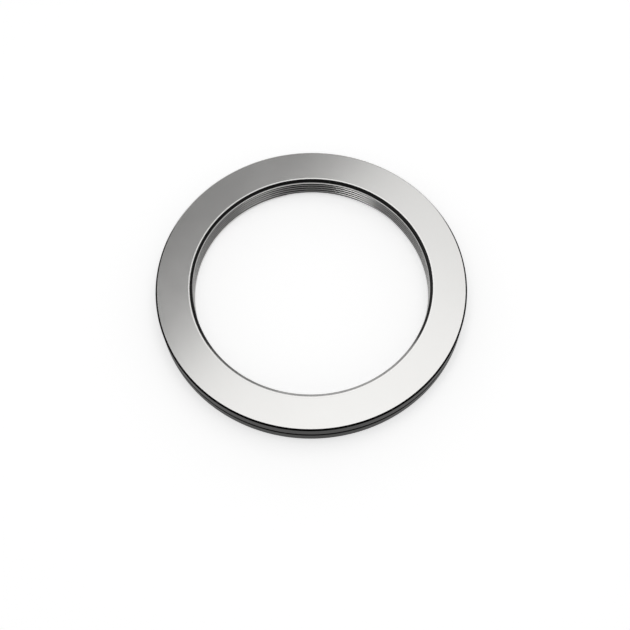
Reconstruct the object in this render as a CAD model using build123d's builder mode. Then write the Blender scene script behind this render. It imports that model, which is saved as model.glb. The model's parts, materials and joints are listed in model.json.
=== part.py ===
from build123d import *
import math
import os

# A NOT GO thread ring gauge: one hardened steel ring, ground flat on both faces.
# The ring lies flat, its lower face on Z = 0 and its axis on Z.
# The bore is at the thread's minor diameter, where the crests of the thread lie.

# Thread under test, in mm: basic ISO metric form
thread_diameter = 190.0
thread_pitch = 3.0

# Ring, in mm
outside_diameter = 245.0
thickness = 20.0

# Edges, in mm: both mouths of the bore open past the roots of the thread
mouth_relief = 0.4
rim_chamfer = 1.2

# Groove turned round the rim, which marks the NOT GO member, in mm
groove_width = 3.0
groove_depth = 1.3
groove_corner_radius = 0.4
groove_edge_break = 0.25

# Sizes that follow from the ones above
thread_depth = 5 / 16 * math.sqrt(3) * thread_pitch
bore_radius = thread_diameter / 2 - thread_depth
mouth_chamfer = thread_depth + mouth_relief
rim_radius = outside_diameter / 2
groove_floor_radius = rim_radius - groove_depth
groove_height = thickness / 2

with BuildPart() as gauge_ring:
    with BuildSketch(Plane.XZ) as section:
        # The blank: a plain section from the bore to the rim
        with Locations((bore_radius, 0)):
            Rectangle(rim_radius - bore_radius, thickness, align=(Align.MIN, Align.MIN))
        bore_corners = section.vertices().group_by(Axis.X)[0]
        chamfer(bore_corners, mouth_chamfer)
        rim_corners = section.vertices().group_by(Axis.X)[-1]
        chamfer(rim_corners, rim_chamfer)

        # The groove, plunged into the rim at mid-thickness
        with Locations((groove_floor_radius, groove_height)):
            Rectangle(
                2 * groove_depth,
                groove_width,
                align=(Align.MIN, Align.CENTER),
                mode=Mode.SUBTRACT,
            )
        groove_corners = section.vertices().filter_by(
            lambda corner: abs(corner.Y - groove_height) < groove_width / 2 + groove_edge_break
        )
        fillet(groove_corners.group_by(Axis.X)[0], groove_corner_radius)
        chamfer(groove_corners.group_by(Axis.X)[-1], groove_edge_break)
    revolve(axis=Axis.Z)

gauge_ring.part.label = "gauge_ring"

os.makedirs("parts", exist_ok=True)
export_step(gauge_ring.part, "parts/gauge_ring.step")
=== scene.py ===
import json
import math

import bpy
from mathutils import Matrix, Vector


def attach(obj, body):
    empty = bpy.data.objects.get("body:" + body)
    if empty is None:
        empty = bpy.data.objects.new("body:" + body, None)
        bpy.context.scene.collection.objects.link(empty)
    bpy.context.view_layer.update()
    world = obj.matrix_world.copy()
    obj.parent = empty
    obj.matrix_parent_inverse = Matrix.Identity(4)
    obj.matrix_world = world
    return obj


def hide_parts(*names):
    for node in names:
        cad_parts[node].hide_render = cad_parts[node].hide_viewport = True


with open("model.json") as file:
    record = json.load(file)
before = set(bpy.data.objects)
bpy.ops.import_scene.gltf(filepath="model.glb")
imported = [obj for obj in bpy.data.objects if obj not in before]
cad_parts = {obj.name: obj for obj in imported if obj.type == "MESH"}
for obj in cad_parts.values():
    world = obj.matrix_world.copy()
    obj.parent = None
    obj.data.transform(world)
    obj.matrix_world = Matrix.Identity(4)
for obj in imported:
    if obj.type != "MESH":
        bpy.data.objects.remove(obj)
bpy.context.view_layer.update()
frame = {"record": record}

# ---------------------------------------------------------------------------
# Sizes, in metres. Radii are from the ring's axis and heights from its lower face.
# ---------------------------------------------------------------------------

MM = 0.001
record = frame["record"]
bore = next(mount for mount in record["mounts"] if mount["name"] == "thread_bore")

RIM_RADIUS = record["size"]["bbox_m"][0] / 2
THICKNESS = record["size"]["bbox_m"][2]
BORE_RADIUS = bore["dims"]["r_mm"] * MM
MOUTH_CHAMFER = (THICKNESS - bore["dims"]["length_mm"] * MM) / 2
MOUTH_RADIUS = BORE_RADIUS + MOUTH_CHAMFER

# Thread: basic ISO metric form, right-hand
PITCH = 3.0 * MM
THREAD_DEPTH = 5 / 16 * math.sqrt(3) * PITCH
ROOT_RADIUS = BORE_RADIUS + THREAD_DEPTH
CREST_HALF_WIDTH = PITCH / 8
ROOT_HALF_WIDTH = PITCH / 2 - PITCH / 16     # from the middle of a ridge to the foot of its flank
CREST_BREAK = 0.06 * MM
CREST_HOLD = 3                               # crest breaks down a flank to its holding row
FIRST_CREST = MOUTH_CHAMFER                  # where the middle of the crest leaves the bore
TURNS = (THICKNESS - 2 * FIRST_CREST) / PITCH
THREAD_START = math.radians(102)             # azimuth of the lower blunt end

# The ridge's lower end is ground away, in turns: a blunt end, then a slow run-out.
# Its upper end runs out in the mouth's cone.
BLUNT_STEP = 1.0 / 360
RELIEF_LENGTH = 50 / 360
RELIEF_RUNOUT = 24 / 360

# Which finish a stretch of the bore has
ON_CONE = 1e-9                               # nearer than this to a mouth's cone is on it
ROOT_BAND = 0.02 * MM                        # this near the root's radius is root
CREST_BAND = 0.08 * MM                       # this near the bore's radius is crest
ROOT_SHADE_START = 0.36 * MM                       # how far outside the crest the flanks turn black: painted shade towards the root
ROOT_SHADE_BLEND = 0.10 * MM
RIDGE_HIGHLIGHT_FADE = (4.6 * MM, 3.9 * MM)           # from a face, where the painted highlight on the first ridge's top fades

# Mouths: the faces' inner edges are stoned to a shallow bevel, and its inmost part stays dark
STONED_WIDTH = 1.25 * MM
STONED_DEPTH = 0.09 * MM
STONED_HOLD = 0.1 * MM
DARK_LIP = 0.45 * MM

# Rim
RIM_CHAMFER = 1.2 * MM
GROOVE_WIDTH = 3.0 * MM
GROOVE_DEPTH = 1.3 * MM
GROOVE_CORNER = 0.4 * MM
EDGE_RADIUS = 0.15 * MM
SHOULDER_RADIUS = 0.35 * MM                  # where the chamfer meets a face

# Mesh
HOLD = 0.25 * MM                             # a row of points beside each edge keeps the flats flat
COLUMNS = 600
ARC_STEPS = 3
SHARP_ANGLE = math.radians(28)

# ---------------------------------------------------------------------------
# The ring's section, one closed path for each azimuth
# ---------------------------------------------------------------------------


def mouth_radius(height):
    """Radius of the nearer mouth's 45 degree cone at a height."""
    return MOUTH_RADIUS - min(height, THICKNESS - height)


def ridge_fullness(turn):
    """1 on the thread, and 0 where its lower run-out is ground away beyond the blunt end."""
    if turn > 0:
        return 1.0
    step = 1 + turn / BLUNT_STEP
    runout = (-turn - RELIEF_LENGTH) / RELIEF_RUNOUT
    return max(0.0, min(1.0, max(step, runout)))


def ridge_outline():
    """A ridge from foot to foot: offsets along the axis, and the share of the thread's depth."""
    flank_width = ROOT_HALF_WIDTH - CREST_HALF_WIDTH
    broken = CREST_BREAK / math.hypot(THREAD_DEPTH, flank_width)
    held = CREST_HOLD * broken
    half = [
        (ROOT_HALF_WIDTH, 0.0),
        (CREST_HALF_WIDTH + held * flank_width, 1 - held),
        (CREST_HALF_WIDTH + broken * flank_width, 1 - broken),
        (CREST_HALF_WIDTH - CREST_BREAK / 2, 1.0),
    ]
    return [(-offset, share) for offset, share in half] + half[::-1]


def thread_points(share_of_turn):
    """The thread where it has turned this far past its start, upwards: (label, radius, height)."""
    points = []
    for k in range(-1, math.ceil(TURNS) + 1):
        turn = k + share_of_turn
        middle = FIRST_CREST + PITCH * turn
        depth = THREAD_DEPTH * ridge_fullness(turn)
        for j, (offset, share) in enumerate(ridge_outline()):
            points.append((("thread", k, j), ROOT_RADIUS - depth * share, middle + offset))
    return points


def bore_path(share_of_turn, lowest, highest):
    """The bore from mouth to mouth: the thread wherever it lies deeper than the mouths' cones."""
    path = [(("mouth", None, 0), mouth_radius(lowest), lowest)]
    before = (ROOT_RADIUS, lowest)
    end = (("root", None, 1), ROOT_RADIUS, highest)
    for label, radius, height in thread_points(share_of_turn) + [end]:
        gap_before = before[0] - mouth_radius(before[1])
        gap = radius - mouth_radius(height)
        if gap_before * gap < 0:
            share = gap_before / (gap_before - gap)
            cut_height = before[1] + share * (height - before[1])
            path.append((("cut",) + label[1:], mouth_radius(cut_height), cut_height))
        if gap > 0:
            path.append((label, radius, height))
        before = (radius, height)
    path.append((("mouth", None, 1), mouth_radius(highest), highest))
    return path


def bore_finish(lower, upper):
    """The dark cone of a mouth, or the thread's root, crest or flank."""
    radius = (lower[1] + upper[1]) / 2
    height = (lower[2] + upper[2]) / 2
    if abs(radius - mouth_radius(height)) < ON_CONE:
        return "mouth_cone"
    if radius > ROOT_RADIUS - ROOT_BAND:
        return "thread_root"
    return "thread_crest" if radius < BORE_RADIUS + CREST_BAND else "thread_flank"


def rounded(corner, before, after, radius):
    """An edge's rounding with a holding point on each side, as (radius, height) points."""
    corner, before, after = Vector(corner), Vector(before), Vector(after)
    back = (before - corner).normalized()
    on = (after - corner).normalized()
    reach = radius / math.tan(back.angle(on) / 2)
    start, end = corner + back * reach, corner + on * reach
    arc = []
    for i in range(ARC_STEPS + 1):
        s = i / ARC_STEPS
        arc.append(start * (1 - s) ** 2 + corner * (2 * s * (1 - s)) + end * s ** 2)
    return [start + back * HOLD] + arc + [end + on * HOLD]


def mouth_edge():
    """The upper mouth's stoned edge, from its cone out to the face.

    Points are (radius, height, finish from there on).
    """
    inner = MOUTH_RADIUS - STONED_DEPTH
    outer = MOUTH_RADIUS + STONED_WIDTH
    slope = STONED_DEPTH / (outer - inner)
    bevel = [
        (inner, "mouth_cone"),
        (inner + DARK_LIP, "stoned_edge"),
        (outer - STONED_HOLD, "stoned_edge"),
    ]
    points = [(inner - HOLD, THICKNESS - STONED_DEPTH - HOLD, "mouth_cone")]
    for radius, finish in bevel:
        points.append((radius, THICKNESS - slope * (outer - radius), finish))
    return points + [(outer, THICKNESS, "ground_face"), (outer + HOLD, THICKNESS, "ground_face")]


def upper_outside():
    """From the upper mouth over the face and down the rim into the groove.

    Points are (radius, height, finish from there on).
    """
    groove_edge = THICKNESS / 2 + GROOVE_WIDTH / 2
    groove_floor = RIM_RADIUS - GROOVE_DEPTH
    # each corner, its rounding, and the finish of the rounding and of the stretch after it
    corners = [
        ((RIM_RADIUS - RIM_CHAMFER, THICKNESS), SHOULDER_RADIUS, "rim_chamfer"),
        ((RIM_RADIUS, THICKNESS - RIM_CHAMFER), EDGE_RADIUS, "rim"),
        ((RIM_RADIUS, groove_edge), EDGE_RADIUS, "groove"),
        ((groove_floor, groove_edge), GROOVE_CORNER, "groove"),
    ]
    places = [(MOUTH_RADIUS, THICKNESS)]
    places += [corner for corner, _, _ in corners]
    places += [(groove_floor, THICKNESS / 2)]
    path = mouth_edge()
    for (corner, radius, finish), before, after in zip(corners, places, places[2:]):
        finish_before = path[-1][2]
        first, *others = rounded(corner, before, after, radius)
        path.append((first.x, first.y, finish_before))
        path.extend((point.x, point.y, finish) for point in others)
    return path


def outer_path():
    """The whole outside from the upper mouth round to the lower one, which mirrors the upper."""
    upper = upper_outside()
    finishes = [finish for _, _, finish in upper]
    lower = []
    for (radius, height, _), finish in zip(upper[::-1], finishes[-2::-1] + finishes[:1]):
        lower.append((radius, THICKNESS - height, finish))
    return [(("outer", None, i),) + point for i, point in enumerate(upper + lower)]


def section(share_of_turn, outer):
    """The closed section, up the bore and over the outside: (label, radius, height, finish)."""
    highest, lowest = outer[0][2], outer[-1][2]
    bore_points = bore_path(share_of_turn, lowest, highest)[1:-1]
    joined = [outer[-1][:3]] + bore_points + [outer[0][:3]]
    path = []
    for lower, upper in zip(joined[:-1], joined[1:]):
        path.append(lower + (bore_finish(lower, upper),))
    return path + outer[:-1]


# ---------------------------------------------------------------------------
# Mesh: neighbouring sections are stitched point to point
# ---------------------------------------------------------------------------


def stitch(left, right, faces, finishes):
    """Faces between two sections of (label, index, height, finish) with nearly the same points."""
    i = j = 0
    while i < len(left) - 1 or j < len(right) - 1:
        next_left = left[i + 1] if i < len(left) - 1 else None
        next_right = right[j + 1] if j < len(right) - 1 else None
        if next_left and next_right and next_left[0] == next_right[0]:
            faces.append((left[i][1], next_left[1], next_right[1], right[j][1]))
            finishes.append(left[i][3])
            i, j = i + 1, j + 1
        elif next_right is None or (next_left and next_left[2] <= next_right[2]):
            faces.append((left[i][1], next_left[1], right[j][1]))
            finishes.append(left[i][3])
            i += 1
        else:
            faces.append((left[i][1], next_right[1], right[j][1]))
            finishes.append(right[j][3])
            j += 1


def build_ring(name, finish_order):
    """The gauge ring as one closed mesh, its faces in the material slots of finish_order."""
    outer = outer_path()
    vertices, columns = [], []
    for n in range(COLUMNS):
        azimuth = THREAD_START + 2 * math.pi * n / COLUMNS
        column = []
        for label, radius, height, finish in section(n / COLUMNS, outer):
            column.append((label, len(vertices), height, finish))
            vertices.append((radius * math.cos(azimuth), radius * math.sin(azimuth), height))
        columns.append(column + column[:1])
    # a whole turn on, ridge k of the first column is the one that the last column calls k - 1
    seam = []
    for (kind, k, j), index, height, finish in columns[0]:
        seam.append(((kind, k if k is None else k - 1, j), index, height, finish))
    faces, finishes = [], []
    for left, right in zip(columns, columns[1:] + [seam]):
        stitch(left, right, faces, finishes)
    mesh = bpy.data.meshes.new(name)
    mesh.from_pydata(vertices, [], faces)
    slots = [finish_order.index(finish) for finish in finishes]
    mesh.polygons.foreach_set("material_index", slots)
    mesh.shade_smooth()
    mesh.set_sharp_from_angle(angle=SHARP_ANGLE)
    mesh.validate()
    ring = bpy.data.objects.new(name, mesh)
    bpy.context.scene.collection.objects.link(ring)
    return ring


# ---------------------------------------------------------------------------
# Finishes
# ---------------------------------------------------------------------------

GROUND_WARMTH = 0.025                        # the share of blue that ground steel lacks
DARK_WARMTH = 0.03
GREEN_SHARE = 0.3                            # how much of that share its green lacks
ROOT_SHADE_TONE = 0.004                           # painted shade: the thread's black towards its root
ROOT_SHADE_REFRACTION = 1.3
ROOT_SHADE_ROUGHNESS = 0.10                       # added to the ground thread's where the painted root shade is
RIDGE_HIGHLIGHT_ROUGHNESS = 0.20                      # added where the first ridge's top has its painted highlight


class Signal:
    """A shader value that can be written in arithmetic: each operation adds a Math node."""

    def __init__(self, shade, socket):
        self.shade, self.socket = shade, socket

    def math(self, operation, *values):
        return self.shade.node("ShaderNodeMath", {"operation": operation}, dict(enumerate(values)))

    def __add__(self, other):
        return self.math("ADD", self, other)

    def __radd__(self, other):
        return self.math("ADD", other, self)

    def __sub__(self, other):
        return self.math("SUBTRACT", self, other)

    def __rsub__(self, other):
        return self.math("SUBTRACT", other, self)

    def __mul__(self, other):
        return self.math("MULTIPLY", self, other)

    def __rmul__(self, other):
        return self.math("MULTIPLY", other, self)

    def __truediv__(self, other):
        return self.math("DIVIDE", self, other)

    def __rtruediv__(self, other):
        return self.math("DIVIDE", other, self)

    def __pow__(self, other):
        return self.math("POWER", self, other)

    def __rpow__(self, other):
        return self.math("POWER", other, self)


class Shading:
    """The shader nodes of a material or of the surround."""

    def __init__(self, owner):
        owner.use_nodes = True
        self.owner, self.tree = owner, owner.node_tree
        self.tree.nodes.clear()

    def node(self, kind, settings=None, inputs=None, output=0):
        """Adds a node, makes its settings, then sets or links its inputs. Returns one output."""
        node = self.tree.nodes.new(kind)
        for key, value in (settings or {}).items():
            setattr(node, key, value)
        for key, value in (inputs or {}).items():
            if isinstance(value, Signal):
                self.tree.links.new(value.socket, node.inputs[key])
            else:
                node.inputs[key].default_value = value
        return Signal(self, node.outputs[output]) if node.outputs else None

    def surface(self, **inputs):
        """Ends the material in a Principled shader. Spaces in its inputs' names are written _."""
        named = {key.replace("_", " "): value for key, value in inputs.items()}
        shader = self.node("ShaderNodeBsdfPrincipled", None, named)
        self.node("ShaderNodeOutputMaterial", None, {"Surface": shader})
        return self.owner


def axes(shade, vector):
    """A vector's three parts."""
    return [shade.node("ShaderNodeSeparateXYZ", None, {"Vector": vector}, axis) for axis in "XYZ"]


def object_place(shade):
    """A point's place in the object's own frame."""
    return shade.node("ShaderNodeTexCoord", output="Object")


def ring_coordinates(shade):
    """A point's height, and its radius and azimuth about the ring's axis."""
    x, y, height = axes(shade, object_place(shade))
    return height, (x * x + y * y) ** 0.5, y.math("ARCTAN2", y, x)


def noise(shade, place, scale, detail=3.0, roughness=0.55):
    """Noise from 0 to 1 with about `scale` features in a metre."""
    inputs = {"Vector": place, "Scale": scale, "Detail": detail, "Roughness": roughness}
    return shade.node("ShaderNodeTexNoise", None, inputs, "Fac")


def swing(signal, amount):
    """A noise's swing about zero, `amount` from end to end."""
    return (signal - 0.5) * amount


def fade(shade, value, start, end):
    """A smooth step from 0 at start to 1 at end."""
    inputs = {"Value": value, "From Min": start, "From Max": end}
    return shade.node("ShaderNodeMapRange", {"interpolation_type": "SMOOTHSTEP"}, inputs)


def turned_lines(shade, across, stretch):
    """Lines that run round the ring: `across` metres apart and `stretch` times as long."""
    height, radius, azimuth = ring_coordinates(shade)
    along = azimuth * (radius / (across * stretch))
    values = {"X": along, "Y": radius / across, "Z": height / across}
    place = shade.node("ShaderNodeCombineXYZ", None, values)
    return noise(shade, place, scale=1.0, detail=2.0)


def steel(shade, tone, warmth=0.0):
    """Grey of this tone. Warmth takes that share off its blue and a little off its green."""
    green = tone * (1 - warmth * GREEN_SHARE)
    values = {"Red": tone, "Green": green, "Blue": tone * (1 - warmth)}
    return shade.node("ShaderNodeCombineColor", None, values)


def bump(shade, relief, strength, distance):
    """Relief that is too fine for the mesh."""
    inputs = {"Strength": strength, "Distance": distance, "Height": relief}
    return shade.node("ShaderNodeBump", None, inputs)


def ground_face_finish(name, tone, roughness):
    """Faces ground flat: bright hardened steel with a very fine, even grain."""
    shade = Shading(bpy.data.materials.new(name))
    place = object_place(shade)
    grain = noise(shade, place, scale=2600.0, detail=4.0, roughness=0.65)
    marks = turned_lines(shade, across=0.4 * MM, stretch=18.0)
    cloud = noise(shade, place, scale=22.0, detail=4.0)
    bright = tone + swing(grain, 0.10) + swing(marks, 0.05) + swing(cloud, 0.06)
    return shade.surface(
        Base_Color=steel(shade, bright, GROUND_WARMTH),
        Metallic=1.0,
        Roughness=roughness + swing(marks, 0.06) + swing(cloud, 0.07),
        Normal=bump(shade, grain * 0.5 + marks * 0.5, strength=0.12, distance=0.02 * MM),
    )


def stoned_edge_finish(name, tone, roughness):
    """The faces' inner edges, broken with a stone."""
    shade = Shading(bpy.data.materials.new(name))
    nicks = noise(shade, object_place(shade), scale=900.0)
    return shade.surface(
        Base_Color=steel(shade, tone + swing(nicks, 0.2), GROUND_WARMTH),
        Metallic=1.0,
        Roughness=roughness + swing(nicks, 0.1),
    )


def thread_finish(name, tone, roughness, highlight_tone):
    """Ground thread with fine lines along its lead, and painted shade that turns it black towards
    the root.

    Beside each mouth the top of the ridge is lighter: a painted highlight.
    """
    shade = Shading(bpy.data.materials.new(name))
    height, radius, _ = ring_coordinates(shade)
    lines = turned_lines(shade, across=0.08 * MM, stretch=60.0)
    cloud = noise(shade, object_place(shade), scale=60.0)
    from_face = height.math("MINIMUM", height, THICKNESS - height)
    # painted highlight: the first ridge beside each mouth takes the lighter stoned tone
    stoned = fade(shade, from_face, *RIDGE_HIGHLIGHT_FADE)
    # painted shade: ground is 1 near the crest and falls to 0 towards the root, blacking out the
    # root side of each flank
    edge = BORE_RADIUS + ROOT_SHADE_START
    ground = 1 - fade(shade, radius, edge - ROOT_SHADE_BLEND, edge + ROOT_SHADE_BLEND)
    bright = tone + stoned * (highlight_tone - tone) + swing(lines, 0.08) + swing(cloud, 0.04)
    rough = roughness + stoned * RIDGE_HIGHLIGHT_ROUGHNESS + (1 - ground) * ROOT_SHADE_ROUGHNESS
    return shade.surface(
        Base_Color=steel(shade, ROOT_SHADE_TONE + ground * bright, GROUND_WARMTH),
        Metallic=ground,
        Roughness=rough + swing(lines, 0.06) + swing(cloud, 0.04),
        IOR=ROOT_SHADE_REFRACTION,
        Normal=bump(shade, lines, strength=0.08, distance=0.01 * MM),
    )


def dark_finish(name, tone, roughness, refraction=1.5, metal=0.0, edge_tint=1.0, paler_along_y=None):
    """Steel left dark by the hardening, with turned lines. In the thread's root the same dark is
    painted shade.

    The last argument is (tone, start, end): going along Y from start to end, in shares of the rim's
    radius, it turns metallic and that tone is added.
    """
    shade = Shading(bpy.data.materials.new(name))
    place = object_place(shade)
    lines = turned_lines(shade, across=0.12 * MM, stretch=90.0)
    blotch = noise(shade, place, scale=180.0, detail=4.0)
    unevenness = 1.0 + swing(lines, 0.7) + swing(blotch, 0.6)
    if paler_along_y:
        paler_tone, start, end = paler_along_y
        _, y, _ = axes(shade, place)
        metal = fade(shade, y, start * RIM_RADIUS, end * RIM_RADIUS)
        tone = tone + metal * paler_tone
    return shade.surface(
        Base_Color=steel(shade, tone * unevenness, DARK_WARMTH),
        Metallic=metal,
        Roughness=roughness + swing(lines, 0.14) + swing(blotch, 0.10),
        IOR=refraction,
        Specular_Tint=(edge_tint, edge_tint, edge_tint, 1.0),
        Normal=bump(shade, lines, strength=0.2, distance=0.02 * MM),
    )


# ---------------------------------------------------------------------------
# Studio
# ---------------------------------------------------------------------------

FLOOR_REACH = 8.0
FLOOR_TONE = (0.80, 0.80, 0.80, 1.0)
FLOOR_LIFT = 0.56        # added to the floor's own look and reflections, not to the ring's light
FLOOR_FADE = (0.12, 0.8)                     # radii between which it goes over into white
WHITE = (1.0, 1.0, 1.0, 1.0)
LAMP_HEIGHT = 1.6

AMBIENT = 0.26
WALLS = 0.40                                 # how much paler the walls beside and behind are
WALL_TOP = (0.60, 0.25)                      # the walls' upper edge, as a direction's height
WALL_FRONT = (-0.85, -0.45)                  # their front edge, as a direction's Y
GAP_EDGE = (0.30, 0.15)                      # the dark gap's edge, off the camera's direction
GAP_DEPTH = 0.95

CAMERA_PLACE = Vector((0.0, -0.34115, 0.66887 + THICKNESS))
CAMERA_AIM = Vector((0.00237, -0.02892, THICKNESS))
CAMERA_ROLL = math.radians(-0.973)
LENS_MM = 54.5
SENSOR_MM = 36.0
CAMERA_REACH = (0.05, 20.0)


def floor_finish():
    """Pale floor that takes the ring's shadow and goes over into the white surround."""
    shade = Shading(bpy.data.materials.new("pale_floor"))
    _, radius, _ = ring_coordinates(shade)
    by_camera = shade.node("ShaderNodeLightPath", output="Is Camera Ray")
    by_gloss = shade.node("ShaderNodeLightPath", output="Is Glossy Ray")
    seen = by_camera.math("MAXIMUM", by_camera, by_gloss)
    inputs = {
        "Base Color": FLOOR_TONE,
        "Roughness": 0.9,
        "Specular IOR Level": 0.0,
        "Emission Color": steel(shade, seen),
        "Emission Strength": FLOOR_LIFT,
    }
    near = shade.node("ShaderNodeBsdfPrincipled", None, inputs)
    far = shade.node("ShaderNodeEmission", None, {"Color": WHITE, "Strength": 1.0})
    factor = seen * fade(shade, radius, *FLOOR_FADE)
    mixed = shade.node("ShaderNodeMixShader", None, {0: factor, 1: near, 2: far})
    shade.node("ShaderNodeOutputMaterial", None, {"Surface": mixed})
    return shade.owner


def build_floor():
    """The floor, level with the ring's lower face."""
    mesh = bpy.data.meshes.new("floor")
    corners = [(-1, -1), (1, -1), (1, 1), (-1, 1)]
    places = [(x * FLOOR_REACH, y * FLOOR_REACH, 0.0) for x, y in corners]
    mesh.from_pydata(places, [], [(0, 1, 2, 3)])
    floor = bpy.data.objects.new("floor", mesh)
    floor.data.materials.append(floor_finish())
    bpy.context.scene.collection.objects.link(floor)


def softbox(name, place, size, radiance, turn=0.0):
    """A soft rectangular light over (x, y) that faces down, turned on its own axis in degrees."""
    lamp = bpy.data.lights.new(name, "AREA")
    lamp.shape = "RECTANGLE"
    lamp.size, lamp.size_y = size
    lamp.energy = radiance * math.pi * size[0] * size[1]
    light = bpy.data.objects.new(name, lamp)
    light.location = (*place, LAMP_HEIGHT)
    light.rotation_euler = (0.0, 0.0, math.radians(turn))
    light.visible_camera = False
    bpy.context.scene.collection.objects.link(light)


def build_surround():
    """White to the camera. To the ring, a dim room with paler walls and a gap at the camera."""
    shade = Shading(bpy.data.worlds.new("surround"))
    direction = shade.node("ShaderNodeTexCoord", output="Generated")
    _, y, z = axes(shade, direction)
    walls = WALLS * fade(shade, z, *WALL_TOP) * fade(shade, y, *WALL_FRONT)
    ends = {0: direction, 1: CAMERA_PLACE.normalized()}
    off = shade.node("ShaderNodeVectorMath", {"operation": "DISTANCE"}, ends, "Value")
    gap = fade(shade, off, *GAP_EDGE)
    by_camera = shade.node("ShaderNodeLightPath", output="Is Camera Ray")
    level = by_camera + (1 - by_camera) * (AMBIENT + walls) * (1 - gap * GAP_DEPTH)
    inputs = {"Color": steel(shade, level), "Strength": 1.0}
    background = shade.node("ShaderNodeBackground", None, inputs)
    shade.node("ShaderNodeOutputWorld", None, {"Surface": background})
    bpy.context.scene.world = shade.owner


def build_camera():
    """The camera, standing in front of the ring and looking down into it."""
    lens = bpy.data.cameras.new("camera")
    lens.lens = LENS_MM
    lens.sensor_width = SENSOR_MM
    lens.clip_start, lens.clip_end = CAMERA_REACH
    camera = bpy.data.objects.new("camera", lens)
    level = (CAMERA_AIM - CAMERA_PLACE).to_track_quat("-Z", "Y")
    camera.location = CAMERA_PLACE
    camera.rotation_mode = "QUATERNION"
    camera.rotation_quaternion = level @ Matrix.Rotation(CAMERA_ROLL, 4, "Z").to_quaternion()
    bpy.context.scene.collection.objects.link(camera)
    bpy.context.scene.camera = camera


# ---------------------------------------------------------------------------
# The ring in its studio
# ---------------------------------------------------------------------------

finishes = {
    "ground_face": ground_face_finish("ground_face", tone=0.72, roughness=0.21),
    "stoned_edge": stoned_edge_finish("stoned_edge", tone=0.82, roughness=0.24),
    "mouth_cone": dark_finish(
        "mouth_cone", tone=0.002, roughness=0.26, refraction=1.38, paler_along_y=(0.32, -0.35, -0.50)
    ),
    "thread_flank": thread_finish("thread_flank", tone=0.88, roughness=0.14, highlight_tone=0.88),
    # the crests' low tone is painted shade, for the shaded floor in the bore that they reflect
    "thread_crest": thread_finish("thread_crest", tone=0.21, roughness=0.22, highlight_tone=0.66),
    # the root's black is painted shade at the bottom of the thread
    "thread_root": dark_finish("thread_root", tone=0.003, roughness=0.45, refraction=1.4),
    "rim_chamfer": dark_finish(
        "rim_chamfer", tone=0.001, roughness=0.28, refraction=1.14, paler_along_y=(0.55, 0.30, 0.60)
    ),
    "rim": dark_finish("rim", tone=0.058, roughness=0.40, metal=1.0, edge_tint=0.74),
    "groove": dark_finish("groove", tone=0.050, roughness=0.45, metal=1.0, edge_tint=0.74),
}
ring = build_ring("ring_body", list(finishes))
for material in finishes.values():
    ring.data.materials.append(material)
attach(ring, "root")
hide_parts("gauge_ring")

build_floor()
softbox("main_panel", (0.011, 0.340), (1.15, 0.88), radiance=0.96, turn=50.0)
softbox("side_panel", (0.622, 1.067), (0.75, 0.88), radiance=0.77, turn=50.0)
softbox("top_light", (0.10, -0.06), (1.3, 0.64), radiance=1.2)
softbox("left_light", (-0.63, -0.57), (0.5, 0.4), radiance=1.85, turn=25.0)
softbox("right_light", (0.73, -0.53), (0.70, 0.4), radiance=0.56, turn=-25.0)
build_surround()
build_camera()
bpy.context.scene.view_settings.view_transform = "Standard"
